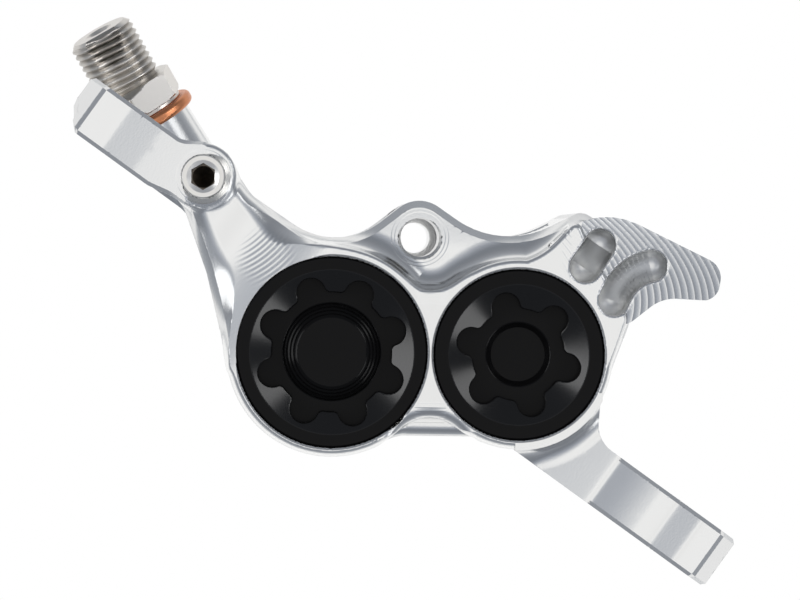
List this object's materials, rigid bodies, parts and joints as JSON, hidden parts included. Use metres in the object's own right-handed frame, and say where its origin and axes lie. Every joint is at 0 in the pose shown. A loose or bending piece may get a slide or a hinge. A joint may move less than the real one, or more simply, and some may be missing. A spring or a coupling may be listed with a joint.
{
  "type": "bicycle disc brake caliper",
  "caption": "One-piece hydraulic disc brake caliper with slotted post-mount ears, threaded bore caps, opposed pistons, brake pads, bleed screw and hose connector.",
  "frame": {"origin": "middle of the rotor gap, halfway between the large and the small bore", "axes": "+X along the line of the two mounting bolts, away from the hose connector; +Y along the wheel axle, away from the capped side; +Z along the bolts, away from the mounting faces"},
  "size_m": [0.0923, 0.0365, 0.044],
  "materials": {
    "machined_aluminium": "polished after milling",
    "black_anodised": "turned and black anodised",
    "seal_rubber": "moulded",
    "piston_steel": "ground",
    "plate_steel": "stamped and plated",
    "friction_compound": "pressed sintered compound",
    "spring_steel": "rolled leaf",
    "screw_steel": "turned",
    "connector_steel": "turned stainless",
    "copper": "annealed"
  },
  "bodies": {
    "caliper": {"caliper_body": "machined_aluminium", "large_bore_cap": "black_anodised", "small_bore_cap": "black_anodised", "large_cap_seal": "seal_rubber", "small_cap_seal": "seal_rubber", "outer_large_seal": "seal_rubber", "outer_small_seal": "seal_rubber", "inner_large_seal": "seal_rubber", "inner_small_seal": "seal_rubber", "pad_spring": "spring_steel", "bleed_screw_seal": "seal_rubber", "hose_connector": "connector_steel", "connector_washer": "copper", "gallery_plug": "screw_steel"},
    "outer_pad": {"outer_pad_plate": "plate_steel", "outer_pad_friction": "friction_compound"},
    "inner_pad": {"inner_pad_plate": "plate_steel", "inner_pad_friction": "friction_compound"},
    "outer_large_piston": {"outer_large_piston": "piston_steel"},
    "outer_small_piston": {"outer_small_piston": "piston_steel"},
    "inner_large_piston": {"inner_large_piston": "piston_steel"},
    "inner_small_piston": {"inner_small_piston": "piston_steel"},
    "bleed_screw": {"bleed_screw": "screw_steel"}
  },
  "joints": [
    {"name": "outer_pad_slide", "type": "slide", "parent": "caliper", "child": "outer_pad", "axis": [0, 1, 0], "range_m": [0, 0.002], "deforming": ["pad_spring"]},
    {"name": "inner_pad_slide", "type": "slide", "parent": "caliper", "child": "inner_pad", "axis": [0, -1, 0], "range_m": [0, 0.002], "deforming": ["pad_spring"]},
    {"name": "outer_large_piston_slide", "type": "slide", "parent": "caliper", "child": "outer_large_piston", "axis": [0, 1, 0], "range_m": [0, 0.002]},
    {"name": "outer_small_piston_slide", "type": "slide", "parent": "caliper", "child": "outer_small_piston", "axis": [0, 1, 0], "range_m": [0, 0.002]},
    {"name": "inner_large_piston_slide", "type": "slide", "parent": "caliper", "child": "inner_large_piston", "axis": [0, -1, 0], "range_m": [0, 0.002]},
    {"name": "inner_small_piston_slide", "type": "slide", "parent": "caliper", "child": "inner_small_piston", "axis": [0, -1, 0], "range_m": [0, 0.002]},
    {"name": "bleed_screw_turn", "type": "hinge", "parent": "caliper", "child": "bleed_screw", "pos_m": [-0.03091, -0.0172, 0.00143], "axis": [0, -1, 0], "range_deg": [0, 360]}
  ],
  "couplings": [
    {"joint": "inner_pad_slide", "follows": "outer_pad_slide", "ratio": 1},
    {"joint": "outer_large_piston_slide", "follows": "outer_pad_slide", "ratio": 1},
    {"joint": "outer_small_piston_slide", "follows": "outer_pad_slide", "ratio": 1},
    {"joint": "inner_large_piston_slide", "follows": "outer_pad_slide", "ratio": 1},
    {"joint": "inner_small_piston_slide", "follows": "outer_pad_slide", "ratio": 1}
  ]
}
